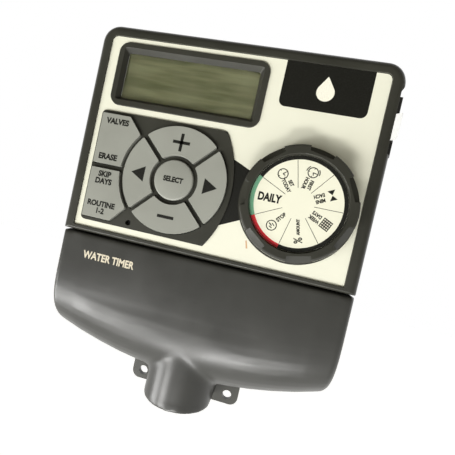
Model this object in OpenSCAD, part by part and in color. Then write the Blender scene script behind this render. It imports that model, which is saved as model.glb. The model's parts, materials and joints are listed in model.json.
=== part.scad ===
// Wall-hung irrigation controller: upper case with panel, dial and keys, and a
// sliding terminal cover with a cable neck. The origin lies midway between the
// two lower screw holes, on the wall plane. X is to the right, Z is up and the
// panel faces -Y.

/* [Case] */
// Overall width of the case
case_w = 146; // [140:1:180]
// Height of the case's top edge above the screw holes
case_top = 178.7; // [177:0.1:215]
// Height of the seam under the upper case
seam_z = 74.4; // [60:0.1:75]
// Distance of the panel from the wall
panel_d = 36; // [35:0.5:45]
// Wall thickness of the upper case
case_wall = 2.5; // [2:0.1:3]
// Radius of the case's upper corners
corner_r = 9; // [7:0.5:12]
// Radius of the case's front edges
edge_r = 5; // [3:0.5:6]
// How far the rim stands in front of the panel
rim_h = 0.8; // [0.5:0.1:1.5]
// Width of the flat panel
panel_w = 133; // [132:1:134]
// Height of the flat panel
panel_h = 95.2; // [95:0.1:96]
// Height of the panel's middle above the screw holes
panel_z = 124.8; // [124:0.1:126]
// Thickness of the case's front wall
floor_t = 2.4; // [2:0.1:2.8]
// Thickness of the printed faceplate
plate_t = 0.4; // [0.2:0.1:0.6]

/* [Back plate] */
// Thickness of the back plate
back_t = 3; // [2.5:0.1:4]
// Distance between the two screw holes
screw_pitch = 50.8; // [50:0.1:52]
// Radius of the screw holes
screw_hole_r = 2.6; // [2:0.1:3]
// Overall width across the two ears
ear_span = 63.6; // [63:0.1:66]
// How far the ears reach below the screw holes
ear_drop = 5; // [4.5:0.1:6]
// Height of the keyhole's narrow end above the screw holes
keyhole_z = 166; // [160:1:168]

/* [Terminal cover] */
// Wall thickness of the terminal cover
cover_wall = 2.2; // [1.8:0.1:2.6]
// Seam between the upper case and the cover
seam_gap = 0.8; // [0.4:0.1:1.2]
// Height of the cover's lowest point in front view
cover_low = 6; // [2:0.1:8]
// Radius of the cover's bottom edge in front view
cover_sweep_r = 200; // [150:1:240]
// Radius of the cover's lower corners in front view
cover_corner_r = 4.5; // [3.5:0.5:14]
// Outer radius of the cable neck
neck_r = 18; // [15:0.5:20]
// Distance of the neck's centre from the wall
neck_d = 15; // [9:0.5:16]
// How far the neck reaches below the screw holes
neck_drop = 2.2; // [1:0.1:12]

/* [Display] */
// Left edge of the display frame
lcd_x0 = -61.4; // [-63:0.1:-60]
// Width of the display frame
lcd_w = 74.9; // [70:0.1:76]
// Height of the display frame's lower edge
lcd_z0 = 139.1; // [139:0.1:140]
// Height of the display frame
lcd_h = 30.8; // [28:0.1:31]
// Width of the display frame's border
lcd_border = 4.4; // [3:0.1:5]
// How far the display frame and keypad stand in front of the panel
raise_h = 0.7; // [0.4:0.1:1.2]

/* [Keypad] */
// Middle of the round key group, from the centre line
wheel_x = -20; // [-21:0.1:-19]
// Height of the middle of the round key group
wheel_z = 108.2; // [107:0.1:109]
// Radius of the round key group
wheel_r = 25.5; // [24:0.1:26]
// Radius of the middle key
enter_r = 9.65; // [8:0.05:10.5]
// Gap between neighbouring keys
key_split = 2.1; // [1.9:0.1:2.6]
// How far the keys stand in front of the keypad
key_h = 1.5; // [1:0.1:2.5]
// Clearance around a key in its opening
key_gap = 0.35; // [0.3:0.05:0.45]
// Width of the lip that keeps a key in
key_lip = 0.7; // [0.6:0.05:0.8]
// Width of the two side keys
side_key_w = 21.1; // [19:0.1:22]
// Height of the two side keys
side_key_h = 24.4; // [22:0.1:25]

/* [Dial] */
// Middle of the dial, from the centre line
dial_x = 38.7; // [37:0.1:39.5]
// Height of the middle of the dial
dial_z = 108.3; // [106:0.1:110]
// Outer radius of the dial
dial_r = 25.8; // [22:0.1:26.5]
// How far the dial stands in front of the panel
dial_h = 9; // [7:0.1:12]
// Radius of the dial's label disc
disc_r = 21; // [17:0.1:22]
// Depth of the label disc below the dial's front edge
disc_drop = 1.5; // [1:0.1:2.5]
// Number of finger scoops and of switch positions
scoop_count = 7; // [5:1:9]
// Radius of the switch shaft
shaft_r = 3; // [2:0.1:4]

/* [Battery] */
// Height of the middle of the battery tray
tray_z = 153.9; // [152:0.1:155]
// Width of the battery tray
tray_w = 28.5; // [26:0.1:29]
// Thickness of the battery tray
tray_t = 4.6; // [4.4:0.1:5]
// How far the battery tray stands out of the case
tray_out = 2; // [1:0.1:4]
// Radius of the coin cell
cell_r = 10; // [9.9:0.05:10.2]
// Thickness of the coin cell
cell_t = 3.2; // [2:0.1:3.3]
// Width of the insulating pull tab
tab_w = 12.4; // [8:0.1:14]

/* [Terminals] */
// Number of terminals
terminal_count = 15; // [7:1:15]
// Pitch of the terminals
terminal_pitch = 7.5; // [6:0.1:7.6]
// Height of the lower edge of the terminal block
terminal_z = 52; // [48:0.5:53]

/* [Hidden] */

half_w = case_w / 2;
rim_y = -(panel_d + rim_h);
panel_y = -panel_d;
plate_y = panel_y + plate_t;
floor_y = plate_y + floor_t;
raise_y = panel_y - raise_h;
key_y = raise_y - key_h;
panel_x1 = panel_w / 2;
panel_z0 = panel_z - panel_h / 2;
panel_z1 = panel_z + panel_h / 2;
slack = 0.1;
fit_gap = 0.05;
seat_gap = 0.3;

// Circuit board behind the panel
board_t = 1.6;
board_gap = 5;
board_y = floor_y + board_gap;
board_back_y = board_y + board_t;
board_x = 62;
board_z0 = 79.6;
board_z1 = panel_z1 - 3;
post_r = 2.4;
post_hole_r = 1.5;
board_posts = [[-59, 137.4], [59, 133], [13, 84], [59, 84]];

// Long bosses for the case screws
boss_r = 3.2;
boss_hole_r = 1.5;
boss_x = half_w - case_wall - 4;
boss_posts = [for (x = [-boss_x, boss_x]) for (z = [seam_z + 6.5, case_top - 5.2]) [x, z]];
case_screw_len = 16;
head_r = 2.9;
head_t = 1.8;

// Display stack
lcd_x1 = lcd_x0 + lcd_w;
lcd_z1 = lcd_z0 + lcd_h;
lcd_corner_r = 5;
window_x0 = lcd_x0 + lcd_border;
window_x1 = lcd_x1 - lcd_border;
window_z0 = lcd_z0 + lcd_border;
window_z1 = lcd_z1 - lcd_border;
window_t = 1.2;
window_lap = 1.4;
glass_t = 2.8;
glass_lap = 0.5;
holder_wall = 2.2;
strip_h = 2;

// Keys
key_back_y = floor_y + 2.2;
lip_t = 0.8;
lip_y = floor_y + slack;
mat_t = 0.7;
dome_r = 3.2;
dome_y = key_back_y + slack;
side_key_x0 = wheel_x - 42.2;
side_key_x1 = side_key_x0 + side_key_w;
side_key_z0 = wheel_z + 1.2;
side_key_z1 = side_key_z0 + side_key_h;
side_chamfer = [6.6, 7.3];
side_key_mid = (side_key_z0 + side_key_z1) / 2;
side_cut_r = wheel_r + key_split - 0.2;
rocker_ear_r = 1;
rocker_ear_w = 0.5;
pad_margin = 1.3;
pad_x0 = side_key_x0 - pad_margin;
pad_x1 = 0;
pad_z1 = side_key_z1 + pad_margin + 0.5;
pad_z0 = 2 * wheel_z - pad_z1;
pad_bulge = 8.2;
pad_half_h = (pad_z1 - pad_z0) / 2;
pad_bulge_r = (pad_half_h * pad_half_h + pad_bulge * pad_bulge) / (2 * pad_bulge);
reset_x = wheel_x - 18.4;
reset_z = pad_z0 + 2.9;
reset_r = 1.35;
reset_travel = 0.3;

// Dial
dial_y = panel_y - dial_h;
disc_t = 0.4;
disc_y = dial_y + disc_drop;
web_t = 4.6;
flange_t = 0.8;
flange_w = 0.9;
dial_wall = 1.7;
scoop_in = 3.3;
scoop_drop = 4.4;
scoop_half_w = 5.1;
hub_r = 6;
shaft_gap = 0.05;
switch_w = 16;

// Battery compartment
tray_y0 = board_back_y + 0.5;
tray_y1 = tray_y0 + tray_t;
tray_x1 = half_w + tray_out;
tray_x0 = tray_x1 - 30;
tray_z0 = tray_z - tray_w / 2;
tray_z1 = tray_z + tray_w / 2;
tray_end = 3.2;
tray_recess = 1.7;
tray_recess_end = 1.2;
cell_x = tray_x1 - tray_end - cell_r - 2.4;
cell_y0 = tray_y0 + 0.6;
cell_y1 = cell_y0 + cell_t;
tab_t = 0.25;
tab_y0 = cell_y0 - tab_t - slack;
tab_out = 3;
tab_reach = sqrt(pow(cell_r - seat_gap, 2) - pow(tab_w / 2, 2));
tab_slot = 0.8;
bay_wall = 1.5;
bay_gap = 0.3;
leaf_t = 0.2;
leaf_w = 5;

// Terminal compartment
cover_top = seam_z - seam_gap;
cover_back_y = -back_t - 0.15;
sweep_z = cover_low + cover_sweep_r;
tongue_x = 45;
tongue_w = 8;
tongue_t = 1.6;
tongue_up = 5;
lip_w = 0.9;
lip_root = 3;
tongue_y = floor_y + seat_gap;
term_board_y0 = -9.6;
term_board_y1 = -8;
term_board_z0 = terminal_z - 12;
term_board_z1 = terminal_z + 19;
block_x = terminal_count * terminal_pitch / 2 + 1;
term_post_x = block_x + 3.5;
term_board_x = term_post_x + 3.8;
term_posts = [for (x = [-term_post_x, term_post_x]) for (z = [term_board_z0 + 4, term_board_z1 - 3.4]) [x, z]];
block_h = 16;
block_y0 = -21;
clamp_w = 5;
clamp_h = 6;
clamp_y0 = -18;
clamp_y1 = -11;
clamp_z = terminal_z + 9;
clamp_screw_r = 1.2;
clamp_head_r = 2.1;
header_w = 22;
header_x = header_w / 2 + 10.75 - term_post_x;
header_h = 5;
varistor_x = 10.75 - term_post_x;
varistor_pitch = 6.5;
fuse_x = term_post_x - 29.25;
fuse_l = 20;
triac_count = 9;
triac_x0 = varistor_x + varistor_pitch + 9.5;
triac_step = (fuse_x - 5.5 - triac_x0) / (triac_count - 1);
ribbon_t = 0.9;
ribbon_low_y = -13;
ribbon_high_y = board_back_y + 3.2;
ribbon_low_z = term_board_z1 - 1;
ribbon_high_z = board_z0 + 9;

// Draws a front-view outline as a slab between two depths
module slab(y0, y1) {
    translate([0, y1, 0]) rotate([90, 0, 0]) linear_extrude(y1 - y0) children();
}

// Turns a profile of radius and distance from the wall about a Y axis
module turned(x, z) {
    translate([x, 0, z]) rotate([90, 0, 0]) rotate_extrude($fn = 96) children();
}

// Round pin or hole along Y
module peg(x, z, r, y0, y1) {
    translate([x, y1, z]) rotate([90, 0, 0]) cylinder(r = r, h = y1 - y0, $fn = 48);
}

// Box between two corners
module block(a, b) {
    translate(a) cube(b - a);
}

// Rectangle with its own radius at the top and at the bottom corners
module plate2d(x0, x1, z0, z1, r_top, r_low) {
    translate([x0, z0 + r_low]) square([x1 - x0, z1 - z0 - r_low - r_top]);
    translate([x0 + r_top, z0 + r_low]) square([x1 - x0 - 2 * r_top, z1 - z0 - r_low]);
    translate([x0 + r_low, z0]) square([x1 - x0 - 2 * r_low, z1 - z0 - r_top]);
    for (x = [x0 + r_top, x1 - r_top]) translate([x, z1 - r_top]) circle(r_top, $fn = 48);
    for (x = [x0 + r_low, x1 - r_low]) translate([x, z0 + r_low]) circle(r_low, $fn = 48);
}

// Front-view outline of the upper case, drawn in by an inset
module case_outline(inset, low_inset) {
    r = corner_r - inset;
    plate2d(inset - half_w, half_w - inset, seam_z + low_inset, case_top - inset, r, 0.5);
}

// Bottom edge of the cover in front view, as a list of points
function sweep_corner_z(r, w, c) = sweep_z - sqrt(pow(r - c, 2) - pow(w - c, 2));
function cover_edge(inset) = let (
    w = half_w - inset,
    r = cover_sweep_r - inset,
    c = cover_corner_r - inset,
    zc = sweep_corner_z(r, w, c),
    turn = atan2(sweep_z - zc, w - c)
) concat(
    [for (a = [0:turn / 6:turn + 0.01]) [w - c + c * cos(a), zc - c * sin(a)]],
    [for (k = [1:11]) let (a = turn + (180 - 2 * turn) * k / 12) [r * cos(a), sweep_z - r * sin(a)]],
    [for (k = [6:-1:0]) let (a = turn * k / 6) [c - w - c * cos(a), zc - c * sin(a)]]
);

// Depth of the cover's face at each step down from the seam, as a share of the full depth
side_power = 6;
side_root = 1.4;
side_steps = 20;
foot_share = 0.05;
function side_share(k) = let (
    u = sin(90 * k / side_steps)
) max(foot_share, pow(max(0, 1 - pow(u, side_power)), 1 / side_root));

// How far the cover's face falls back near its rounded left and right edges
function edge_drop(x, inset) = let (
    r = max(0.5, edge_r - inset),
    past = abs(x) - (half_w - inset - r)
) past > 0 ? r - sqrt(max(0, r * r - past * past)) : 0;

// Solid inside of the cover's outer faces, drawn in by an inset
module cover_body(inset, back_y, top_z) {
    edge = cover_edge(inset);
    last = len(edge) - 1;
    rows = side_steps + 1;
    depth = panel_d + cover_back_y - inset;
    front = [for (p = edge) for (k = [0:side_steps]) [
        p[0],
        cover_back_y - (depth - edge_drop(p[0], inset)) * side_share(k),
        k == 0 ? top_z : cover_top - (cover_top - p[1]) * sin(90 * k / side_steps)
    ]];
    back = [for (p = front) [p[0], back_y, p[2]]];
    far = len(front);
    skin = [for (i = [0:last - 1]) for (k = [0:side_steps - 1]) let (
        a = i * rows + k,
        b = a + rows
    ) each [[a, a + 1, b + 1], [a, b + 1, b]]];
    rim = concat(
        [for (k = [0:side_steps]) k],
        [for (i = [1:last]) i * rows + side_steps],
        [for (k = [side_steps - 1:-1:0]) last * rows + k],
        [for (i = [last - 1:-1:1]) i * rows]
    );
    sides = [for (j = [0:len(rim) - 1]) let (
        a = rim[j],
        b = rim[(j + 1) % len(rim)]
    ) [b, a, a + far, b + far]];
    inside = [for (f = skin) [f[2] + far, f[1] + far, f[0] + far]];
    polyhedron(points = concat(front, back), faces = concat(skin, inside, sides), convexity = 4);
}

// Plan view of the cable neck
module neck2d(r, back_y) {
    intersection() {
        translate([0, -neck_d]) circle(r, $fn = 72);
        translate([-r, -neck_d - r]) square(2 * [r, r / 2 + 0.01]);
    }
    translate([-r, -neck_d]) square([2 * r, neck_d + back_y]);
}

// Round key group's four outer keys, each seen as the upper one
module quadrant2d(grow) {
    corner = key_split / sqrt(2) - grow * sqrt(2);
    intersection() {
        difference() {
            circle(wheel_r + grow, $fn = 96);
            circle(enter_r + key_split - grow, $fn = 72);
        }
        translate([0, corner]) rotate(45) square(2 * wheel_r);
    }
}

// Outline of the upper side key
module side_key2d(grow) {
    difference() {
        polygon([
            [side_key_x0 - grow, side_key_z0 - grow],
            [side_key_x1 + grow, side_key_z0 - grow],
            [side_key_x1 + grow, side_key_z1 - side_chamfer[1] + grow / 2],
            [side_key_x1 - side_chamfer[0] + grow / 2, side_key_z1 + grow],
            [side_key_x0 - grow, side_key_z1 + grow]
        ]);
        translate([wheel_x, wheel_z]) circle(side_cut_r - grow, $fn = 96);
    }
}

module lower_side_key2d(grow) {
    translate([0, 2 * wheel_z]) mirror([0, 1]) side_key2d(grow);
}

// Raised outline around all keys
module keypad2d(grow) {
    plate2d(pad_x0 - grow, pad_x1 + grow, pad_z0 - grow, pad_z1 + grow, 2, 2);
    intersection() {
        translate([pad_bulge - pad_bulge_r, wheel_z]) circle(pad_bulge_r + grow, $fn = 128);
        translate([-10, pad_z0 - grow]) square([30, pad_z1 - pad_z0 + 2 * grow]);
    }
}

module display2d(grow) {
    r = lcd_corner_r;
    plate2d(lcd_x0 - grow, lcd_x1 + grow, lcd_z0 - grow, lcd_z1 + grow, r, r);
}

module window2d(grow) {
    plate2d(window_x0 - grow, window_x1 + grow, window_z0 - grow, window_z1 + grow, 1, 1);
}

module key_openings2d() {
    translate([wheel_x, wheel_z]) {
        circle(enter_r + key_gap, $fn = 72);
        for (a = [0:90:270]) rotate(a) quadrant2d(key_gap);
    }
    side_key2d(key_gap);
    lower_side_key2d(key_gap);
}

module back_plate() {
    color([0.28, 0.28, 0.26]) {
        difference() {
            union() {
                slab(-back_t, 0) {
                    case_outline(0, -1);
                    polygon(concat(cover_edge(0), [[-half_w, seam_z], [half_w, seam_z]]));
                    plate2d(-ear_span / 2, ear_span / 2, -ear_drop, cover_low + 8, 0.5, 4.5);
                }
                for (p = term_posts) peg(p[0], p[1], 3, term_board_y1, -back_t);
            }
            for (x = [-screw_pitch / 2, screw_pitch / 2]) peg(x, 0, screw_hole_r, -back_t - 1, 1);
            for (p = boss_posts) {
                peg(p[0], p[1], boss_hole_r + 0.15, -back_t - 1, 1);
                peg(p[0], p[1], head_r + 0.2, -head_t - slack, 1);
            }
            for (p = term_posts) peg(p[0], p[1], 1.25, -back_t - 6, -1.2);
            peg(0, keyhole_z - 7, 4.2, -back_t - 1, 1);
            peg(0, keyhole_z, 2.2, -back_t - 1, 1);
            block([-2.2, -back_t - 1, keyhole_z - 7], [2.2, 1, keyhole_z]);
        }
    }
}

// Outer form of the upper case, with its front edges rounded
module case_form() {
    hull() {
        slab(rim_y + edge_r, -back_t) case_outline(0, 0);
        for (a = [15:15:90]) {
            inset = edge_r * (1 - cos(a));
            y = rim_y + edge_r - edge_r * sin(a);
            slab(y, y + 0.02) case_outline(inset, inset * 0.3);
        }
    }
}

module upper_case() {
    color([0.3, 0.3, 0.27]) difference() {
        union() {
            difference() {
                case_form();
                block(
                    [case_wall - half_w, floor_y, seam_z + floor_t],
                    [half_w - case_wall, 1, case_top - case_wall]
                );
                slab(rim_y - 1, plate_y)
                    plate2d(-panel_x1, panel_x1, panel_z0, panel_z1, 2.8, 0.5);
            }
            slab(raise_y, floor_y) keypad2d(0);
            slab(raise_y, floor_y) display2d(0);
            for (p = board_posts) peg(p[0], p[1], post_r, floor_y - 1, board_y);
            for (p = boss_posts) peg(p[0], p[1], boss_r, floor_y - 1, -back_t);
        }
        slab(raise_y - 1, floor_y + 1) key_openings2d();
        peg(reset_x, reset_z, reset_r, raise_y - 1, floor_y + 1);
        slab(raise_y - 1, floor_y + 1) window2d(0);
        slab(floor_y - window_t, floor_y + 1) window2d(window_lap + slack);
        peg(dial_x, dial_z, hub_r + 0.5, rim_y - 1, floor_y + 1);
        for (p = board_posts) peg(p[0], p[1], post_hole_r, floor_y + 0.4, board_y + 1);
        for (p = boss_posts) peg(p[0], p[1], boss_hole_r, -back_t - case_screw_len, 0);
        block(
            [half_w - case_wall - 1, tray_y0 - bay_gap, tray_z0 - bay_gap],
            [half_w + 1, tray_y1 + bay_gap, tray_z1 + bay_gap]
        );
        block(
            [half_w - tray_recess, -panel_d - 1, tray_z0 - tray_recess_end],
            [half_w + 1, tray_y1 + 1, tray_z1 + tray_recess_end]
        );
        block(
            [header_x - header_w / 2 - 1, ribbon_low_y - 2, seam_z - 1],
            [header_x + header_w / 2 + 1, ribbon_low_y + 3, seam_z + floor_t + 1]
        );
        for (x = [-tongue_x, tongue_x]) block(
            [x - tongue_w / 2 - seat_gap, tongue_y - seat_gap, seam_z - 1],
            [x + tongue_w / 2 + seat_gap, tongue_y + tongue_t + seat_gap, seam_z + floor_t + 1]
        );
    }
}

module faceplate() {
    color([0.94, 0.93, 0.85]) slab(panel_y, plate_y) difference() {
        plate2d(slack - panel_x1, panel_x1 - slack, panel_z0 + slack, panel_z1 - slack, 2.7, 0.4);
        keypad2d(slack);
        display2d(slack);
        translate([dial_x, dial_z]) circle(hub_r + 0.5, $fn = 48);
    }
}

module display_window() {
    color([0.6, 0.65, 0.55, 0.4]) slab(floor_y - window_t, floor_y) window2d(window_lap);
}

module display_glass() {
    color([0.42, 0.43, 0.33]) slab(floor_y + slack, floor_y + slack + glass_t) window2d(glass_lap);
}

module display_holder() {
    grow = glass_lap + slack;
    color([0.92, 0.92, 0.9]) slab(floor_y + slack, board_y) difference() {
        window2d(grow + holder_wall);
        window2d(grow);
    }
}

module display_connectors() {
    y0 = floor_y + slack + glass_t;
    color([0.75, 0.45, 0.5]) for (z = [window_z0 + 0.6, window_z1 - 0.6 - strip_h])
        block([window_x0 + 2, y0, z], [window_x1 - 2, board_y, z + strip_h]);
}

module main_board() {
    color([0.1, 0.36, 0.2]) difference() {
        block([-board_x, board_y, board_z0], [board_x, board_back_y, board_z1]);
        for (p = board_posts) peg(p[0], p[1], post_hole_r + 0.1, board_y - 1, board_back_y + 1);
        peg(dial_x, dial_z, shaft_r + 0.5, board_y - 1, board_back_y + 1);
    }
}

module board_screws() {
    color([0.7, 0.7, 0.72]) for (p = board_posts) {
        peg(p[0], p[1], post_hole_r - fit_gap, board_y - 4, board_back_y);
        difference() {
            peg(p[0], p[1], 2.6, board_back_y, board_back_y + 1.5);
            for (a = [0, 90]) translate([p[0], board_back_y + 1.5, p[1]]) rotate([0, a, 0])
                cube([3.4, 1.4, 0.7], center = true);
        }
    }
}

module keypad_mat() {
    color([0.35, 0.36, 0.36]) slab(board_y - mat_t, board_y) difference() {
        keypad2d(-1.5);
        translate([reset_x, reset_z]) circle(3.2, $fn = 48);
    }
}

module dome(x, z) {
    translate([x, board_y - mat_t, z]) rotate([90, 0, 0])
        cylinder(r1 = dome_r, r2 = dome_r * 0.55, h = board_y - mat_t - dome_y, $fn = 32);
}

module key_domes() {
    ring = (wheel_r + enter_r + key_split) / 2;
    color([0.45, 0.46, 0.46]) {
        dome(wheel_x, wheel_z);
        for (a = [0:90:270]) dome(wheel_x + ring * cos(a), wheel_z + ring * sin(a));
        for (side = [-1, 1]) for (z = [side_key_z0 + 5, side_key_z1 - 5])
            dome(side_key_x0 + 8, wheel_z + side * (z - wheel_z));
    }
}

module rotary_switch() {
    color([0.12, 0.12, 0.13]) difference() {
        block(
            [dial_x - switch_w / 2, floor_y + 0.2, dial_z - switch_w / 2],
            [dial_x + switch_w / 2, board_y, dial_z + switch_w / 2]
        );
        peg(dial_x, dial_z, shaft_r + shaft_gap, floor_y - 1, board_y + 1);
    }
}

module reset_switch() {
    color([0.2, 0.2, 0.2])
        block([reset_x - 2.1, board_y - 1.2, reset_z - 2.1], [reset_x + 2.1, board_y, reset_z + 2.1]);
}

module controller_chip() {
    color([0.08, 0.08, 0.08]) block([-17, board_back_y, 118], [-3, board_back_y + 1.6, 132]);
}

module clock_crystal() {
    color([0.75, 0.75, 0.75]) block([6, board_back_y, 122], [17, board_back_y + 3.5, 126.6]);
}

module filter_capacitor() {
    color([0.1, 0.15, 0.35]) peg(-46, 108, 6.3, board_back_y, board_back_y + 12);
}

module battery_bay() {
    inner = bay_gap;
    x0 = tray_x0 - 0.6;
    color([0.16, 0.16, 0.16]) difference() {
        block(
            [x0 - bay_wall, board_back_y, tray_z0 - inner - bay_wall],
            [half_w - case_wall - 0.2, tray_y1 + inner + leaf_t + bay_wall, tray_z1 + inner + bay_wall]
        );
        block(
            [x0, board_back_y - 1, tray_z0 - inner],
            [half_w, tray_y1 + inner + leaf_t, tray_z1 + inner]
        );
    }
}

// Positive contact: a sprung sheet behind the cell, on the bay's rear wall
module battery_clip() {
    y0 = tray_y1 + bay_gap;
    color([0.8, 0.78, 0.7])
        block([cell_x - 9, y0, tray_z - leaf_w / 2], [cell_x + 9, y0 + leaf_t, tray_z + leaf_w / 2]);
}

// Negative contact: a sheet in front of the cell, on the board
module battery_leaf() {
    color([0.8, 0.78, 0.7]) block(
        [cell_x - 9, board_back_y, tray_z - leaf_w / 2],
        [cell_x - 1, board_back_y + leaf_t, tray_z + leaf_w / 2]
    );
}

module board_header() {
    y1 = ribbon_high_y + ribbon_t + 1.5;
    color([0.12, 0.12, 0.12]) difference() {
        block(
            [header_x - header_w / 2 - 2, board_back_y, ribbon_high_z],
            [header_x + header_w / 2 + 2, y1, ribbon_high_z + header_h]
        );
        block(
            [header_x - header_w / 2 - slack, ribbon_high_y - slack, ribbon_high_z - 1],
            [header_x + header_w / 2 + slack, ribbon_high_y + ribbon_t + slack, ribbon_high_z + 3.1]
        );
    }
}

module ribbon_cable() {
    bend_z0 = seam_z + floor_t + 3;
    color([0.6, 0.6, 0.6]) translate([header_x - header_w / 2, 0, 0]) rotate([90, 0, 90])
        linear_extrude(header_w) polygon([
            [ribbon_low_y, ribbon_low_z],
            [ribbon_low_y, bend_z0],
            [ribbon_high_y, ribbon_high_z - 1],
            [ribbon_high_y, ribbon_high_z + 3],
            [ribbon_high_y + ribbon_t, ribbon_high_z + 3],
            [ribbon_high_y + ribbon_t, ribbon_high_z - 0.6],
            [ribbon_low_y + ribbon_t, bend_z0 + 0.4],
            [ribbon_low_y + ribbon_t, ribbon_low_z]
        ]);
}

module terminal_header() {
    z0 = ribbon_low_z - 2;
    color([0.12, 0.12, 0.12]) difference() {
        block(
            [header_x - header_w / 2 - 2, ribbon_low_y - 1.5, z0],
            [header_x + header_w / 2 + 2, term_board_y0, ribbon_low_z + 1]
        );
        block(
            [header_x - header_w / 2 - slack, ribbon_low_y - slack, ribbon_low_z - slack],
            [header_x + header_w / 2 + slack, ribbon_low_y + ribbon_t + slack, seam_z]
        );
    }
}

module terminal_board() {
    color([0.1, 0.36, 0.2]) difference() {
        block(
            [-term_board_x, term_board_y0, term_board_z0],
            [term_board_x, term_board_y1, term_board_z1]
        );
        for (p = term_posts) peg(p[0], p[1], 1.4, term_board_y0 - 1, term_board_y1 + 1);
    }
}

module terminal_board_screws() {
    color([0.7, 0.7, 0.72]) for (p = term_posts) {
        peg(p[0], p[1], 1.2, term_board_y0, term_board_y1 + 5);
        difference() {
            peg(p[0], p[1], 2.4, term_board_y0 - 1.4, term_board_y0);
            for (a = [0, 90]) translate([p[0], term_board_y0 - 1.4, p[1]]) rotate([0, a, 0])
                cube([3.2, 1.2, 0.6], center = true);
        }
    }
}

// Places a child at each terminal
module at_terminals() {
    for (k = [0:terminal_count - 1])
        translate([(k - (terminal_count - 1) / 2) * terminal_pitch, 0, 0]) children();
}

module terminal_block() {
    cell_w = clamp_w + 0.4;
    color([0.15, 0.15, 0.15]) difference() {
        block([-block_x, block_y0, terminal_z], [block_x, term_board_y0, terminal_z + block_h]);
        at_terminals() {
            peg(0, clamp_z, clamp_head_r + 0.3, block_y0 - 1, clamp_y0 + 1);
            block(
                [-cell_w / 2, clamp_y0 - 0.2, terminal_z - 1],
                [cell_w / 2, clamp_y1 + 0.2, clamp_z + clamp_h / 2 + 0.2]
            );
        }
    }
}

module terminal_clamps() {
    color([0.78, 0.66, 0.35]) at_terminals() difference() {
        block(
            [-clamp_w / 2, clamp_y0, clamp_z - clamp_h / 2],
            [clamp_w / 2, clamp_y1, clamp_z + clamp_h / 2]
        );
        peg(0, clamp_z, clamp_screw_r + 0.05, clamp_y0 - 1, clamp_y0 + 2);
        block(
            [-clamp_w / 2 + 0.8, clamp_y0 + 1.2, clamp_z - clamp_h],
            [clamp_w / 2 - 0.8, clamp_y1 - 0.8, clamp_z + clamp_h]
        );
    }
}

module terminal_screws() {
    color([0.72, 0.72, 0.7]) at_terminals() {
        peg(0, clamp_z, clamp_screw_r, clamp_y0 - 0.2, clamp_y0 + 3);
        difference() {
            peg(0, clamp_z, clamp_head_r, clamp_y0 - 2, clamp_y0 - 0.1);
            block([-3, clamp_y0 - 3, clamp_z - 0.3], [3, clamp_y0 - 1.2, clamp_z + 0.3]);
        }
    }
}

module output_triacs() {
    color([0.1, 0.1, 0.1]) for (k = [0:triac_count - 1]) {
        x = triac_x0 + k * triac_step;
        block([x - 2.2, term_board_y0 - 5, term_board_z0 + 3], [x + 2.2, term_board_y0, term_board_z0 + 6.4]);
    }
}

module surge_varistors() {
    color([0.15, 0.3, 0.6]) for (x = [varistor_x, varistor_x + varistor_pitch])
        peg(x, term_board_z0 + 5, 2.9, term_board_y0 - 3, term_board_y0);
}

module fuse() {
    color([0.8, 0.85, 0.85]) translate([fuse_x, term_board_y0 - 3.6, term_board_z0 + 5])
        rotate([0, 90, 0]) cylinder(r = 2.6, h = fuse_l, $fn = 48);
}

module fuse_clips() {
    color([0.75, 0.75, 0.7]) for (x = [fuse_x + 1, fuse_x + fuse_l - 5.5]) difference() {
        block(
            [x, term_board_y0 - 4.6, term_board_z0 + 1.6],
            [x + 4.5, term_board_y0, term_board_z0 + 8.4]
        );
        translate([x - 1, term_board_y0 - 3.6, term_board_z0 + 5])
            rotate([0, 90, 0]) cylinder(r = 2.6 + fit_gap, h = 8, $fn = 48);
    }
}

module case_screws() {
    color([0.7, 0.7, 0.72]) for (p = boss_posts) {
        peg(p[0], p[1], boss_hole_r - fit_gap, 1 - back_t - case_screw_len, -head_t);
        difference() {
            peg(p[0], p[1], head_r, -head_t, 0);
            for (a = [0, 90]) translate([p[0], 0, p[1]]) rotate([0, a, 0])
                cube([3.6, 1.8, 0.8], center = true);
        }
    }
}

// Key with its lip, from a 2D outline that grows by the lip's width
module key_cap(turn) {
    translate([wheel_x, 0, wheel_z]) rotate([0, -turn, 0]) {
        slab(key_y, key_back_y) quadrant2d(0);
        slab(lip_y, lip_y + lip_t) quadrant2d(key_lip);
    }
}

module plus_key() {
    color([0.63, 0.64, 0.6]) key_cap(0);
}

module left_key() {
    color([0.63, 0.64, 0.6]) key_cap(90);
}

module minus_key() {
    color([0.63, 0.64, 0.6]) key_cap(180);
}

module right_key() {
    color([0.63, 0.64, 0.6]) key_cap(270);
}

module enter_key() {
    color([0.63, 0.64, 0.6]) {
        peg(wheel_x, wheel_z, enter_r, key_y, key_back_y);
        peg(wheel_x, wheel_z, enter_r + key_lip, lip_y, lip_y + lip_t);
    }
}

// Side key with the two ears that it rocks on
module rocker() {
    ear_y = lip_y + rocker_ear_r;
    reach = side_key_mid - wheel_z;
    inner_x = wheel_x - sqrt(side_cut_r * side_cut_r - reach * reach);
    slab(key_y, key_back_y) side_key2d(0);
    translate([side_key_x0 - rocker_ear_w, ear_y, side_key_mid]) rotate([0, 90, 0])
        cylinder(r = rocker_ear_r, h = inner_x - side_key_x0 + 2 * rocker_ear_w, $fn = 32);
}

module manual_clear_key() {
    color([0.63, 0.64, 0.6]) rocker();
}

module delay_program_key() {
    color([0.63, 0.64, 0.6]) translate([0, 0, 2 * wheel_z]) mirror([0, 0, 1]) rocker();
}

module reset_button() {
    color([0.5, 0.5, 0.48]) {
        peg(reset_x, reset_z, reset_r - 0.2, floor_y - 1.2, board_y - 1.2 - reset_travel - slack);
        peg(reset_x, reset_z, reset_r + 0.5, lip_y, lip_y + lip_t);
    }
}

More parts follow.
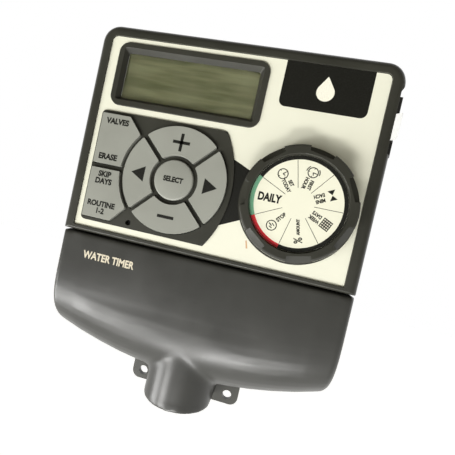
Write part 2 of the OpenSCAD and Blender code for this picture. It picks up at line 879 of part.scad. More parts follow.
module dial_ring() {
    base = panel_d + seat_gap;
    front = panel_d + dial_h;
    floor_s = panel_d + dial_h - disc_drop - disc_t;
    back_s = floor_s - web_t;
    color([0.25, 0.25, 0.21]) difference() {
        turned(dial_x, dial_z) polygon(concat(
            [[shaft_r, base + 1], [hub_r, base + 1], [hub_r, back_s], [dial_r - dial_wall, back_s]],
            [[dial_r - dial_wall, base], [dial_r + flange_w, base], [dial_r + flange_w, base + flange_t]],
            [[dial_r + 0.2, base + flange_t]],
            [for (a = [0:30:90]) [dial_r - 1.6 + 1.4 * cos(a), front - 1.4 + 1.4 * sin(a)]],
            [[disc_r + 1, front], [disc_r, front - 1], [disc_r, floor_s], [shaft_r, floor_s]]
        ));
        for (k = [0:scoop_count - 1])
            translate([dial_x, 0, dial_z]) rotate([0, k * 360 / scoop_count, 0])
                slab(dial_y - 1, dial_y + scoop_drop) polygon([
                    [scoop_in - dial_r, -scoop_half_w],
                    [-dial_r - 2, -scoop_half_w - 1.2],
                    [-dial_r - 2, scoop_half_w + 1.2],
                    [scoop_in - dial_r, scoop_half_w]
                ]);
    }
}

module dial_disc() {
    color([0.92, 0.91, 0.83]) peg(dial_x, dial_z, disc_r - slack, disc_y, disc_y + disc_t);
}

module dial_shaft() {
    color([0.75, 0.75, 0.75])
        peg(dial_x, dial_z, shaft_r, disc_y + disc_t, board_back_y + 1.5);
}

module battery_tray() {
    color([0.15, 0.15, 0.14]) difference() {
        block([tray_x0, tray_y0, tray_z0], [tray_x1, tray_y1, tray_z1]);
        peg(cell_x, tray_z, cell_r + slack, tray_y0 - 1, cell_y1 + slack);
        peg(cell_x, tray_z, cell_r - 2, tray_y0 - 1, tray_y1 + 1);
        block(
            [cell_x, tray_y0 - 1, tray_z - tab_w / 2 - slack],
            [tray_x1 + 1, tray_y0 + tab_slot, tray_z + tab_w / 2 + slack]
        );
    }
}

module coin_cell() {
    color([0.8, 0.8, 0.8]) {
        peg(cell_x, tray_z, cell_r, cell_y0 + 0.4, cell_y1);
        peg(cell_x, tray_z, cell_r - 1.6, cell_y0, cell_y0 + 0.4);
    }
}

module pull_tab() {
    color([0.97, 0.96, 0.93]) block(
        [cell_x - tab_reach, tab_y0, tray_z - tab_w / 2],
        [tray_x1 + tab_out, tab_y0 + tab_t, tray_z + tab_w / 2]
    );
}

// Plan view of the case, drawn in by an inset
module plan2d(inset) {
    mirror([0, 1])
        plate2d(inset - half_w, half_w - inset, -2, panel_d - inset, max(0.5, edge_r - inset), 0.5);
}

module terminal_cover() {
    color([0.35, 0.35, 0.32]) {
        translate([0, 0, cover_top - lip_root]) linear_extrude(lip_root + seam_gap - slack) difference() {
            plan2d(cover_wall - slack);
            plan2d(cover_wall + lip_w);
            translate([-half_w, cover_back_y]) square([case_w, 10]);
        }
        difference() {
            union() {
                cover_body(0, cover_back_y, cover_top);
                translate([0, 0, -neck_drop]) linear_extrude(neck_drop + 40)
                    neck2d(neck_r, cover_back_y);
            }
            cover_body(cover_wall, 1, cover_top + 1);
            translate([0, 0, -neck_drop - 1]) linear_extrude(neck_drop + 31)
                neck2d(neck_r - cover_wall, 1);
        }
        for (x = [-tongue_x, tongue_x]) {
            block(
                [x - tongue_w / 2, tongue_y, cover_top - 8],
                [x + tongue_w / 2, tongue_y + tongue_t, cover_top + tongue_up]
            );
            block(
                [x - tongue_w / 2, cover_wall - panel_d - 1, cover_top - 8],
                [x + tongue_w / 2, tongue_y + tongue_t / 2, cover_top - 1]
            );
        }
    }
}

back_plate();
upper_case();
faceplate();
display_window();
display_glass();
display_holder();
display_connectors();
main_board();
board_screws();
keypad_mat();
key_domes();
rotary_switch();
reset_switch();
controller_chip();
clock_crystal();
filter_capacitor();
battery_bay();
battery_clip();
battery_leaf();
board_header();
ribbon_cable();
terminal_header();
terminal_board();
terminal_board_screws();
terminal_block();
terminal_clamps();
terminal_screws();
output_triacs();
surge_varistors();
fuse();
fuse_clips();
case_screws();
plus_key();
minus_key();
left_key();
right_key();
enter_key();
manual_clear_key();
delay_program_key();
reset_button();
dial_ring();
dial_disc();
dial_shaft();
battery_tray();
coin_cell();
pull_tab();
terminal_cover();
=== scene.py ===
import bpy
import bmesh
import json
import math
from mathutils import Matrix, Vector


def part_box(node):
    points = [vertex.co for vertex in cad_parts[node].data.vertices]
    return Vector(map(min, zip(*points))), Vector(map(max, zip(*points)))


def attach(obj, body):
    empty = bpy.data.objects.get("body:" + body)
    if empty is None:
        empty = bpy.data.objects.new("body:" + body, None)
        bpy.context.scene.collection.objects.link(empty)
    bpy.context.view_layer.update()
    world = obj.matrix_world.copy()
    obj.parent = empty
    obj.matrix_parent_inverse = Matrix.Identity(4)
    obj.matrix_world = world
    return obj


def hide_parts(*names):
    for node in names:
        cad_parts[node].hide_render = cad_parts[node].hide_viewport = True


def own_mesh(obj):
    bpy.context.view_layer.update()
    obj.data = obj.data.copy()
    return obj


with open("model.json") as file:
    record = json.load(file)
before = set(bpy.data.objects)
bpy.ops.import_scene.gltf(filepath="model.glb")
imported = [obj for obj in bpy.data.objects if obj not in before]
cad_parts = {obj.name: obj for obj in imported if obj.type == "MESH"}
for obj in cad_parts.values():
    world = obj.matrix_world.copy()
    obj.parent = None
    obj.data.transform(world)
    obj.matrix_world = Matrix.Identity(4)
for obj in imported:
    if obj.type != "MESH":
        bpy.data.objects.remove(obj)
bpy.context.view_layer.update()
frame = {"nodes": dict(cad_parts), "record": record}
mm = 0.001
print("frame loaded")


# Camera, floor and lights

view = {"place": (33.0, -188.2, 89.7), "lens": 26.11, "shiftX": 0.0059, "shiftY": 0.0292,
        "right": (0.9638, 0.1513, 0.2197), "up": (-0.2212, -0.0070, 0.9752),
        "back": (0.1491, -0.9885, 0.0267), "sensor": 36, "clipStart": 0.01}

def makeCamera():
    data = bpy.data.cameras.new("camera")
    data.lens = view["lens"]
    data.sensor_width = view["sensor"]
    data.shift_x = view["shiftX"]
    data.shift_y = view["shiftY"]
    data.clip_start = view["clipStart"]
    camera = bpy.data.objects.new("camera", data)
    turn = Matrix((view["right"], view["up"], view["back"])).transposed().to_4x4()
    camera.matrix_world = Matrix.Translation(Vector(view["place"]) * mm) @ turn
    bpy.context.scene.collection.objects.link(camera)
    bpy.context.scene.camera = camera

studio = {"floorZ": -1.7, "floorSize": 24.0, "floorGlow": 0.62,
          "frontSky": (0.14, 0.13, 0.095), "backSky": (1.0, 1.0, 1.0), "skyTurn": 0.5,
          "lightsAim": (0, -0.03, 0.09),
          "lights": [("lowKey", (-0.70, -0.92, -0.70), 0.44, 0.44, 9.0, (1, 0.995, 0.98)),
                     ("frontStrip", (-0.06, -0.95, -1.03), 0.7, 0.2, 12.5, (1, 0.995, 0.98)),
                     ("sideStrip", (-1.12, -0.46, -0.57), 0.5, 0.6, 8.0, (1, 1, 0.99))]}

def newMaterial(name):
    material = bpy.data.materials.new(name)
    material.use_nodes = True
    return material, material.node_tree.nodes["Principled BSDF"]

def makeFloor():
    bm = bmesh.new()
    bmesh.ops.create_grid(bm, x_segments=1, y_segments=1, size=studio["floorSize"] / 2)
    bmesh.ops.translate(bm, vec=(0, 0, studio["floorZ"]), verts=bm.verts)
    mesh = bpy.data.meshes.new("floor")
    bm.to_mesh(mesh)
    bm.free()
    floor = bpy.data.objects.new("floor", mesh)
    bpy.context.scene.collection.objects.link(floor)
    pale, shader = newMaterial("paleFloor")
    shader.inputs["Base Color"].default_value = (0.92, 0.92, 0.91, 1)
    shader.inputs["Roughness"].default_value = 0.8
    shader.inputs["Emission Color"].default_value = (1, 1, 1, 1)
    shader.inputs["Emission Strength"].default_value = studio["floorGlow"]
    mesh.materials.append(pale)

def areaLight(name, place, width, height, power, colour):
    data = bpy.data.lights.new(name, "AREA")
    data.shape = "ELLIPSE"
    data.size = width
    data.size_y = height
    data.energy = power
    data.color = colour
    light = bpy.data.objects.new(name, data)
    light.location = place
    light.rotation_euler = (Vector(studio["lightsAim"]) - Vector(place)).to_track_quat("-Z", "Y").to_euler()
    bpy.context.scene.collection.objects.link(light)

def makeLights():
    world = bpy.data.worlds.new("studio")
    world.use_nodes = True
    nodes, links = world.node_tree.nodes, world.node_tree.links
    direction = nodes.new("ShaderNodeTexCoord")
    split = nodes.new("ShaderNodeSeparateXYZ")
    level = nodes.new("ShaderNodeMapRange")
    level.inputs["From Min"].default_value = 0.0
    level.inputs["From Max"].default_value = studio["skyTurn"]
    tone = nodes.new("ShaderNodeMix")
    tone.data_type = "RGBA"
    tone.inputs["A"].default_value = (*studio["frontSky"], 1)
    tone.inputs["B"].default_value = (*studio["backSky"], 1)
    links.new(direction.outputs["Generated"], split.inputs["Vector"])
    links.new(split.outputs["Y"], level.inputs["Value"])
    links.new(level.outputs["Result"], tone.inputs["Factor"])
    links.new(tone.outputs["Result"], nodes["Background"].inputs["Color"])
    bpy.context.scene.world = world
    for name, place, width, height, power, colour in studio["lights"]:
        areaLight(name, place, width, height, power, colour)

makeCamera()
makeFloor()
makeLights()
bpy.context.scene.view_settings.view_transform = "Standard"
print("camera and lights set")


# Materials

def coordinates(tree, scale=(1, 1, 1)):
    place = tree.nodes.new("ShaderNodeTexCoord")
    mapping = tree.nodes.new("ShaderNodeMapping")
    mapping.inputs["Scale"].default_value = scale
    tree.links.new(place.outputs["Object"], mapping.inputs["Vector"])
    return mapping.outputs["Vector"]

def noise(tree, vector, scale, detail=2.0, roughness=0.5):
    node = tree.nodes.new("ShaderNodeTexNoise")
    node.inputs["Scale"].default_value = scale
    node.inputs["Detail"].default_value = detail
    node.inputs["Roughness"].default_value = roughness
    tree.links.new(vector, node.inputs["Vector"])
    return node.outputs["Fac"]

def spread(tree, value, low, high, start=0.0, end=1.0):
    node = tree.nodes.new("ShaderNodeMapRange")
    node.inputs["From Min"].default_value = start
    node.inputs["From Max"].default_value = end
    node.inputs["To Min"].default_value = low
    node.inputs["To Max"].default_value = high
    tree.links.new(value, node.inputs["Value"])
    return node.outputs["Result"]

def blendColours(tree, amount, first, second):
    node = tree.nodes.new("ShaderNodeMix")
    node.data_type = "RGBA"
    tree.links.new(amount, node.inputs["Factor"])
    for socket, colour in ((node.inputs["A"], first), (node.inputs["B"], second)):
        if isinstance(colour, tuple):
            socket.default_value = (*colour, 1)
        else:
            tree.links.new(colour, socket)
    return node.outputs["Result"]

def grainyPlastic(name, colour, variation=0.12, roughness=0.42, grain=2600, depth=0.03, scuffs=0.0,
                  specular=0.5):
    material, shader = newMaterial(name)
    tree = material.node_tree
    vector = coordinates(tree)
    fine = noise(tree, vector, grain, 3, 0.6)
    broad = noise(tree, vector, 45, 3, 0.55)
    lighter = tuple(c * (1 + variation) for c in colour)
    darker = tuple(c * (1 - variation) for c in colour)
    tone = blendColours(tree, spread(tree, broad, 0, 1, 0.3, 0.7), darker, lighter)
    if scuffs:
        streaks = coordinates(tree, (1, 1, 0.25))
        rub = noise(tree, streaks, 700, 6, 0.75)
        worn = spread(tree, rub, 0, scuffs, 0.66, 0.74)
        tone = blendColours(tree, worn, tone, (0.45, 0.45, 0.42))
    tree.links.new(tone, shader.inputs["Base Color"])
    rough = spread(tree, broad, roughness - 0.05, roughness + 0.07, 0.3, 0.7)
    tree.links.new(rough, shader.inputs["Roughness"])
    shader.inputs["Specular IOR Level"].default_value = specular
    bump = tree.nodes.new("ShaderNodeBump")
    bump.inputs["Strength"].default_value = 0.35
    bump.inputs["Distance"].default_value = depth * mm
    tree.links.new(fine, bump.inputs["Height"])
    tree.links.new(bump.outputs["Normal"], shader.inputs["Normal"])
    return material

def plainPrint(name, colour, roughness=0.5):
    material, shader = newMaterial(name)
    tree = material.node_tree
    vector = coordinates(tree)
    speck = noise(tree, vector, 1800, 4, 0.7)
    paler = tuple(min(1, c * 1.2 + 0.01) for c in colour)
    tree.links.new(blendColours(tree, spread(tree, speck, 0, 1, 0.4, 0.75), colour, paler),
              shader.inputs["Base Color"])
    shader.inputs["Roughness"].default_value = roughness
    shader.inputs["Specular IOR Level"].default_value = 0.25
    return material

def metal(name, colour, roughness=0.3, streak=900):
    material, shader = newMaterial(name)
    tree = material.node_tree
    vector = coordinates(tree, (1, 1, 0.1))
    brushed = noise(tree, vector, streak, 3, 0.6)
    darker = tuple(c * 0.8 for c in colour)
    tree.links.new(blendColours(tree, brushed, darker, colour), shader.inputs["Base Color"])
    tree.links.new(spread(tree, brushed, roughness * 0.7, roughness * 1.4), shader.inputs["Roughness"])
    shader.inputs["Metallic"].default_value = 1.0
    return material

def clearPlastic(name, tint, roughness=0.03):
    material, shader = newMaterial(name)
    tree = material.node_tree
    vector = coordinates(tree)
    smear = noise(tree, vector, 120, 4, 0.6)
    tree.links.new(spread(tree, smear, roughness, roughness + 0.05, 0.4, 0.7), shader.inputs["Roughness"])
    shader.inputs["Base Color"].default_value = (*tint, 1)
    shader.inputs["Transmission Weight"].default_value = 1.0
    shader.inputs["IOR"].default_value = 1.46
    return material

def paintedGlowFilm(name, colour):
    material, shader = newMaterial(name)
    tree = material.node_tree
    cloud = noise(tree, coordinates(tree), 120, 2, 0.5)
    tone = blendColours(tree, spread(tree, cloud, 0, 0.1), colour, (1.0, 1.0, 0.98))
    tree.links.new(tone, shader.inputs["Base Color"])
    shader.inputs["Roughness"].default_value = 0.35
    # Painted glow: the film gives off light of its own. This stands in for light passing through it and lifts
    # it out of the case's shade.
    shader.inputs["Emission Color"].default_value = (1, 1, 0.97, 1)
    shader.inputs["Emission Strength"].default_value = 0.6
    return material

def displayGreen(name):
    material, shader = newMaterial(name)
    tree = material.node_tree
    rows = noise(tree, coordinates(tree, (0.1, 1, 1)), 260, 3, 0.55)
    cloud = noise(tree, coordinates(tree, (0.5, 1, 1)), 60, 2, 0.5)
    streaks = blendColours(tree, spread(tree, rows, 0, 1, 0.38, 0.62),
                           (0.175, 0.175, 0.088), (0.33, 0.325, 0.19))
    tone = blendColours(tree, spread(tree, cloud, 0, 0.5, 0.4, 0.65), streaks,
                        (0.38, 0.37, 0.24))
    tree.links.new(tone, shader.inputs["Base Color"])
    shader.inputs["Roughness"].default_value = 0.28
    return material

caseGrey = grainyPlastic("caseGrey", (0.034, 0.034, 0.027), roughness=0.32, specular=0.45)
coverGrey = grainyPlastic("coverGrey", (0.029, 0.029, 0.025), roughness=0.33, scuffs=0.02)
dialGrey = grainyPlastic("dialGrey", (0.035, 0.035, 0.028), roughness=0.22)
keyGrey = grainyPlastic("keyGrey", (0.275, 0.28, 0.245), variation=0.05, roughness=0.42)
cream = grainyPlastic("cream", (0.775, 0.77, 0.635), variation=0.02, roughness=0.45, depth=0.008)
discCream = grainyPlastic("discCream", (0.79, 0.78, 0.63), variation=0.015, roughness=0.4, depth=0.008)
blackPlastic = grainyPlastic("blackPlastic", (0.018, 0.018, 0.017), roughness=0.4)
whiteFilmPaintedGlow = paintedGlowFilm("whiteFilmPaintedGlow", (0.9, 0.89, 0.85))
softRubber = grainyPlastic("softRubber", (0.10, 0.10, 0.10), roughness=0.65)
pinkRubber = grainyPlastic("pinkRubber", (0.42, 0.18, 0.2), roughness=0.6)
greenBoard = grainyPlastic("greenBoard", (0.015, 0.12, 0.04), variation=0.2, roughness=0.28)
greyCable = grainyPlastic("greyCable", (0.36, 0.36, 0.37), roughness=0.5)
blueCoat = grainyPlastic("blueCoat", (0.02, 0.07, 0.32), roughness=0.3)
canSleeve = grainyPlastic("canSleeve", (0.015, 0.03, 0.13), roughness=0.22)
inkBlack = plainPrint("inkBlack", (0.006, 0.006, 0.004))
inkGreen = plainPrint("inkGreen", (0.13, 0.31, 0.19))
inkRed = plainPrint("inkRed", (0.52, 0.022, 0.03))
inkPale = plainPrint("inkPale", (0.80, 0.78, 0.66))
inkTan = plainPrint("inkTan", (0.56, 0.36, 0.2))
inkSand = plainPrint("inkSand", (0.62, 0.56, 0.43))
steel = metal("steel", (0.62, 0.62, 0.6))
brightSteel = metal("brightSteel", (0.75, 0.75, 0.74), roughness=0.18)
yellowBrass = metal("yellowBrass", (0.75, 0.57, 0.25))
windowClear = clearPlastic("windowClear", (0.95, 0.97, 0.93))
fuseClear = clearPlastic("fuseClear", (0.95, 0.98, 0.98))
displayFace = displayGreen("displayFace")
print("materials made")


# Making pieces

def box(node):
    low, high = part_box(node)
    return Vector(low), Vector(high)

def isNear(value, target, slack=0.03):
    return abs(value - target) < slack * mm

def finishMesh(name, bm, material, body, smoothAngle=34):
    for face in bm.faces:
        face.smooth = True
    for edge in bm.edges:
        edge.smooth = len(edge.link_faces) == 2 and edge.calc_face_angle(0) < math.radians(smoothAngle)
    mesh = bpy.data.meshes.new(name)
    bm.to_mesh(mesh)
    bm.free()
    mesh.materials.append(material)
    piece = bpy.data.objects.new(name, mesh)
    bpy.context.scene.collection.objects.link(piece)
    flat = piece.modifiers.new("flatFaces", "WEIGHTED_NORMAL")
    flat.keep_sharp = True
    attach(piece, body)
    return piece

clean = {"weld": 0.004, "flatAngle": 0.6}

def mergedCopy(node):
    bm = bmesh.new()
    bm.from_mesh(frame["nodes"][node].data)
    bmesh.ops.remove_doubles(bm, verts=bm.verts, dist=clean["weld"] * mm)
    bmesh.ops.dissolve_limit(bm, angle_limit=math.radians(clean["flatAngle"]), verts=bm.verts, edges=bm.edges)
    return bm

def bevelSharp(bm, width, segments=2, angle=36, pick=None):
    sharp = [e for e in bm.edges if len(e.link_faces) == 2 and e.calc_face_angle(0) > math.radians(angle)]
    if pick:
        sharp = [e for e in sharp if pick(e)]
    bmesh.ops.bevel(bm, geom=sharp, offset=width * mm, segments=segments, profile=0.5, affect="EDGES",
                    offset_type="OFFSET", clamp_overlap=True, material=-1)

def pieceName(node):
    first, *rest = node.split("_")
    return first + "".join(word.capitalize() for word in rest)

def softCopy(node, material, body, width):
    bm = mergedCopy(node)
    bevelSharp(bm, width)
    piece = finishMesh(pieceName(node), bm, material, body)
    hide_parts(node)
    return piece

bodyOf = {node: body for body, names in frame["record"]["behaviour"]["bodies"].items() for node in names}

finishes = {
    "back_plate": (caseGrey, 0.35), "faceplate": (cream, 0.05), "display_window": (windowClear, 0.1),
    "display_glass": (displayFace, 0.1), "display_holder": (whiteFilmPaintedGlow, 0.15),
    "display_connectors": (pinkRubber, 0.2), "main_board": (greenBoard, 0.1), "board_screws": (steel, 0.15),
    "keypad_mat": (softRubber, 0.15), "rotary_switch": (blackPlastic, 0.3),
    "reset_switch": (blackPlastic, 0.15), "controller_chip": (blackPlastic, 0.15),
    "clock_crystal": (brightSteel, 0.8),
    "filter_capacitor": (canSleeve, 0.5), "battery_bay": (blackPlastic, 0.2), "battery_clip": (steel, 0.04),
    "battery_leaf": (steel, 0.04), "board_header": (blackPlastic, 0.2), "ribbon_cable": (greyCable, 0.1),
    "terminal_header": (blackPlastic, 0.2), "terminal_board": (greenBoard, 0.1),
    "terminal_board_screws": (steel, 0.15), "terminal_block": (blackPlastic, 0.2),
    "terminal_clamps": (yellowBrass, 0.1), "terminal_screws": (steel, 0.12),
    "output_triacs": (blackPlastic, 0.3), "surge_varistors": (blueCoat, 0.9), "fuse": (fuseClear, 0.4),
    "fuse_clips": (steel, 0.1),
    # The reset button takes the black plastic so its deep hole reads dark: painted shade in the hole.
    "case_screws": (steel, 0.15), "reset_button": (blackPlastic, 0.2), "dial_disc": (discCream, 0.05),
    "dial_shaft": (steel, 0.3), "battery_tray": (blackPlastic, 0.3), "coin_cell": (brightSteel, 0.25),
}

for node, (material, width) in finishes.items():
    softCopy(node, material, bodyOf[node], width)
print("parts finished")


# Moulded keys

keyShape = {"nodes": ["plus_key", "minus_key", "left_key", "right_key", "manual_clear_key",
                      "delay_program_key"],
            "cornerRadius": 1.1, "edge": 0.75, "tall": 0.5, "slack": 0.02, "smoothAngle": 24}

def makeKey(node):
    bm = mergedCopy(node)
    front = min(v.co.y for v in bm.verts)

    def onFront(vert):
        return isNear(vert.co.y, front, keyShape["slack"])

    def standing(edge):
        a, b = edge.verts
        return abs(a.co.y - b.co.y) > keyShape["tall"] * mm and (onFront(a) or onFront(b))

    bevelSharp(bm, keyShape["cornerRadius"], 4, pick=standing)
    bevelSharp(bm, keyShape["edge"], 3, pick=lambda edge: all(onFront(v) for v in edge.verts))
    piece = finishMesh(pieceName(node), bm, keyGrey, bodyOf[node], keyShape["smoothAngle"])
    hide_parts(node)

for keyNode in keyShape["nodes"]:
    makeKey(keyNode)
print("keys made")


# Rubber domes under the keys

domeShape = {"keep": 0.5,
             "joints": {"minus_key": "minus_key_press", "delay_program_key": "delay_program_key_rock",
                        "manual_clear_key": "manual_clear_key_rock", "enter_key": "enter_key_press",
                        "right_key": "right_key_press", "plus_key": "plus_key_press",
                        "left_key": "left_key_press"}}

def isOver(point, node):
    low, high = box(node)
    return low.x < point.x < high.x and low.z < point.z < high.z

def looseParts(bm):
    bm.verts.index_update()
    found = set()
    parts = []
    for first in bm.verts:
        if first.index in found:
            continue
        part, waiting = {first.index}, [first]
        while waiting:
            vert = waiting.pop()
            for edge in vert.link_edges:
                other = edge.other_vert(vert)
                if other.index not in part:
                    part.add(other.index)
                    waiting.append(other)
        found |= part
        parts.append(sorted(part))
    return parts

def keyOver(point):
    keys = [node for node in domeShape["joints"] if isOver(point, node)]
    return min(keys, key=lambda node: (sum(box(node), Vector()) / 2 - point).length)

# Each dome is numbered by its key's place in the list, so the names are the same on every run
def makeDomes():
    whole = mergedCopy("key_domes")
    parts = looseParts(whole)
    whole.verts.ensure_lookup_table()
    domes = []
    for part in parts:
        middle = sum((whole.verts[i].co for i in part), Vector()) / len(part)
        domes.append((keyOver(middle), middle, part))
    whole.free()
    order = list(domeShape["joints"])
    domes.sort(key=lambda dome: order.index(dome[0]))
    for number, (key, middle, part) in enumerate(domes):
        one = mergedCopy("key_domes")
        one.verts.ensure_lookup_table()
        kept = {one.verts[i] for i in part}
        bmesh.ops.delete(one, geom=[v for v in one.verts if v not in kept], context="VERTS")
        piece = finishMesh(f"keyDome{number}", one, softRubber, bodyOf["key_domes"])
        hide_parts("key_domes")
        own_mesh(piece)

makeDomes()
print("key domes made")


# Dial ring

ringShape = {"pockets": 7, "pocketIn": 3.3, "pocketDeep": 4.4, "pocketShallow": 2.2, "lip": 21.45,
             "flange": 0.9, "edge": 0.3, "slack": 0.05, "reach": 0.1, "smoothAngle": 24}

def makeDialRing():
    bm = mergedCopy("dial_ring")
    low, high = box("dial_ring")
    discLow, discHigh = box("dial_disc")
    centreX, centreZ = (discLow.x + discHigh.x) / 2, (discLow.z + discHigh.z) / 2
    front, radius = low.y, (high.x - low.x) / 2 - ringShape["flange"] * mm
    inner = radius - ringShape["pocketIn"] * mm
    deep, shallow = ringShape["pocketDeep"] * mm, ringShape["pocketShallow"] * mm
    sector = math.tau / ringShape["pockets"]
    for vert in bm.verts:
        x, z = vert.co.x - centreX, vert.co.z - centreZ
        away, angle = math.hypot(x, z), math.atan2(z, -x)
        if isNear(vert.co.y, front + deep, ringShape["slack"]) and away > inner - ringShape["reach"] * mm:
            angle -= round(angle / sector) * sector
            along = away * math.cos(angle) - inner
            vert.co.y = front + shallow + (deep - shallow) * along / (radius - inner)
        elif isNear(vert.co.y, front, ringShape["slack"]) and away < inner:
            vert.co.x = centreX + x * ringShape["lip"] * mm / away
            vert.co.z = centreZ + z * ringShape["lip"] * mm / away
    bevelSharp(bm, ringShape["edge"])
    piece = finishMesh("dialRing", bm, dialGrey, "dial", ringShape["smoothAngle"])
    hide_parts("dial_ring")

makeDialRing()
print("dial ring made")


# Battery pull tab

tabShape = {"bend": 3.4, "bendPower": 1.5, "curl": 2.3, "curlPower": 2, "bendFrom": 72.2, "columns": 16,
            "corner": 1.2}

def makePullTab():
    low, high = box("pull_tab")
    bm = bmesh.new()
    bmesh.ops.create_cube(bm, size=1)
    for vert in bm.verts:
        vert.co = Vector([low[i] + (vert.co[i] + 0.5) * (high[i] - low[i]) for i in range(3)])
    tipCorners = [e for e in bm.edges if abs(e.verts[0].co.y - e.verts[1].co.y) > 0.1 * mm
                  and min(e.verts[0].co.x, e.verts[1].co.x) > high.x - 0.01 * mm]
    bmesh.ops.bevel(bm, geom=tipCorners, offset=tabShape["corner"] * mm, segments=4, profile=0.5,
                    affect="EDGES", material=-1)
    start = tabShape["bendFrom"] * mm
    for number in range(tabShape["columns"]):
        x = start + (high.x - tabShape["corner"] * mm - start) * number / (tabShape["columns"] - 1)
        bmesh.ops.bisect_plane(bm, geom=bm.verts[:] + bm.edges[:] + bm.faces[:], plane_co=(x, 0, 0),
                               plane_no=(1, 0, 0))
    for vert in bm.verts:
        share = max(0.0, (vert.co.x - start) / (high.x - start))
        vert.co.y -= tabShape["bend"] * mm * share ** tabShape["bendPower"]
        vert.co.x -= tabShape["curl"] * mm * share ** tabShape["curlPower"]
    piece = finishMesh("pullTab", bm, whiteFilmPaintedGlow, "pull_tab")
    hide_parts("pull_tab")

makePullTab()
print("pull tab made")


# Upper case

caseShape = {"corner": 2.6, "cornerAngle": 20, "windowSlope": 1.7, "windowReach": 0.5, "raisedBevel": 0.75,
             "edge": 0.22, "edgeAngle": 40, "keyProud": 1.5, "tall": 0.5, "smoothAngle": 40}

def makeUpperCase():
    windowLow, windowHigh = box("display_window")
    raisedY = box("enter_key")[0].y + caseShape["keyProud"] * mm
    reach = caseShape["windowReach"] * mm
    bm = mergedCopy("upper_case")

    def onRaised(edge):
        return all(isNear(v.co.y, raisedY) for v in edge.verts)

    def inWindow(vert):
        return (windowLow.x - reach < vert.co.x < windowHigh.x + reach
                and windowLow.z - reach < vert.co.z < windowHigh.z + reach)

    def atCorner(edge):
        a, b = edge.verts
        return (abs(a.co.y - b.co.y) > caseShape["tall"] * mm and edge.calc_face_angle_signed(0) > 0
                and (isNear(a.co.y, raisedY) or isNear(b.co.y, raisedY)))

    bevelSharp(bm, caseShape["corner"], 5, caseShape["cornerAngle"], pick=atCorner)
    middle = (windowLow + windowHigh) / 2
    for vert in bm.verts:
        if isNear(vert.co.y, raisedY) and inWindow(vert):
            vert.co.x += math.copysign(caseShape["windowSlope"] * mm, vert.co.x - middle.x)
            vert.co.z += math.copysign(caseShape["windowSlope"] * mm, vert.co.z - middle.z)
    bevelSharp(bm, caseShape["raisedBevel"], pick=onRaised)
    bevelSharp(bm, caseShape["edge"], angle=caseShape["edgeAngle"])
    piece = finishMesh("upperCase", bm, caseGrey, "case", caseShape["smoothAngle"])
    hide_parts("upper_case")

makeUpperCase()
print("case made")


# Terminal cover with its neck

coverShape = {"voxel": 0.7, "smooth": 5, "neckSmooth": 26, "neckReach": 25.0, "neckTop": 36.0, "neckLow": 1.5,
              "neckBack": -4.5, "smoothAngle": 60}

def voxelForm(name, bm, voxel):
    mesh = bpy.data.meshes.new(name)
    bm.to_mesh(mesh)
    bm.free()
    rough = bpy.data.objects.new(name, mesh)
    bpy.context.scene.collection.objects.link(rough)
    remesh = rough.modifiers.new("remesh", "REMESH")
    remesh.mode = "VOXEL"
    remesh.voxel_size = voxel * mm
    form = bmesh.new()
    form.from_object(rough, bpy.context.evaluated_depsgraph_get())
    bpy.data.objects.remove(rough)
    return form

def smoothed(bm, verts, times):
    for step in range(times):
        bmesh.ops.smooth_vert(bm, verts=verts, factor=0.5, use_axis_x=True, use_axis_y=True, use_axis_z=True)

def makeCover():
    bm = voxelForm("coverForm", mergedCopy("terminal_cover"), coverShape["voxel"])
    smoothed(bm, bm.verts, coverShape["smooth"])
    reach, back = coverShape["neckReach"] * mm, coverShape["neckBack"] * mm
    top, low = coverShape["neckTop"] * mm, coverShape["neckLow"] * mm
    neck = [v for v in bm.verts if abs(v.co.x) < reach and low < v.co.z < top and v.co.y < back]
    smoothed(bm, neck, coverShape["neckSmooth"])
    piece = finishMesh("terminalCover", bm, coverGrey, "terminal_cover",
                       coverShape["smoothAngle"])
    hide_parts("terminal_cover")

makeCover()
print("cover made")


# Middle key

enterShape = {"crown": 0.9, "crownShare": 0.75, "sunk": 0.1, "edge": 0.7, "flange": 0.7, "rings": 8,
              "steps": 64}
enterLow, enterHigh = box("enter_key")
enterCentre = (enterLow + enterHigh) / 2
enterRadius = (enterHigh.x - enterLow.x) / 2 - enterShape["flange"] * mm

def crownDepth(x, z):
    share = min(1.0, math.hypot(x - enterCentre.x, z - enterCentre.z) / enterRadius)
    rise = enterShape["crown"] * mm * (share ** 2 - 1) * enterShape["crownShare"]
    return enterLow.y + rise + enterShape["sunk"] * mm

def makeEnterKey():
    bm = bmesh.new()
    profile = [(0, crownDepth(enterCentre.x, enterCentre.z))]
    for step in range(1, enterShape["rings"]):
        radius = (enterRadius - enterShape["edge"] * mm) * step / (enterShape["rings"] - 1)
        profile.append((radius, crownDepth(enterCentre.x + radius, enterCentre.z)))
    shoulder = profile[-1][1]
    for angle in (30, 60, 90):
        a = math.radians(angle)
        radius = enterRadius - enterShape["edge"] * mm * (1 - math.sin(a))
        profile.append((radius, shoulder + enterShape["edge"] * mm * (1 - math.cos(a))))
    profile += [(enterRadius, enterHigh.y), (0, enterHigh.y)]
    verts = [bm.verts.new((enterCentre.x + r, y, enterCentre.z)) for r, y in profile]
    edges = [bm.edges.new(pair) for pair in zip(verts, verts[1:])]
    bmesh.ops.spin(bm, geom=verts + edges, cent=enterCentre, axis=(0, 1, 0), angle=math.tau,
                   steps=enterShape["steps"], use_merge=True)
    bmesh.ops.remove_doubles(bm, verts=bm.verts, dist=0.001 * mm)
    bmesh.ops.recalc_face_normals(bm, faces=bm.faces)
    piece = finishMesh("enterKey", bm, keyGrey, "enter_key")
    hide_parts("enter_key")

makeEnterKey()
print("middle key made")


# Printing

inkLift = 0.02 * mm
inkThick = 0.03 * mm

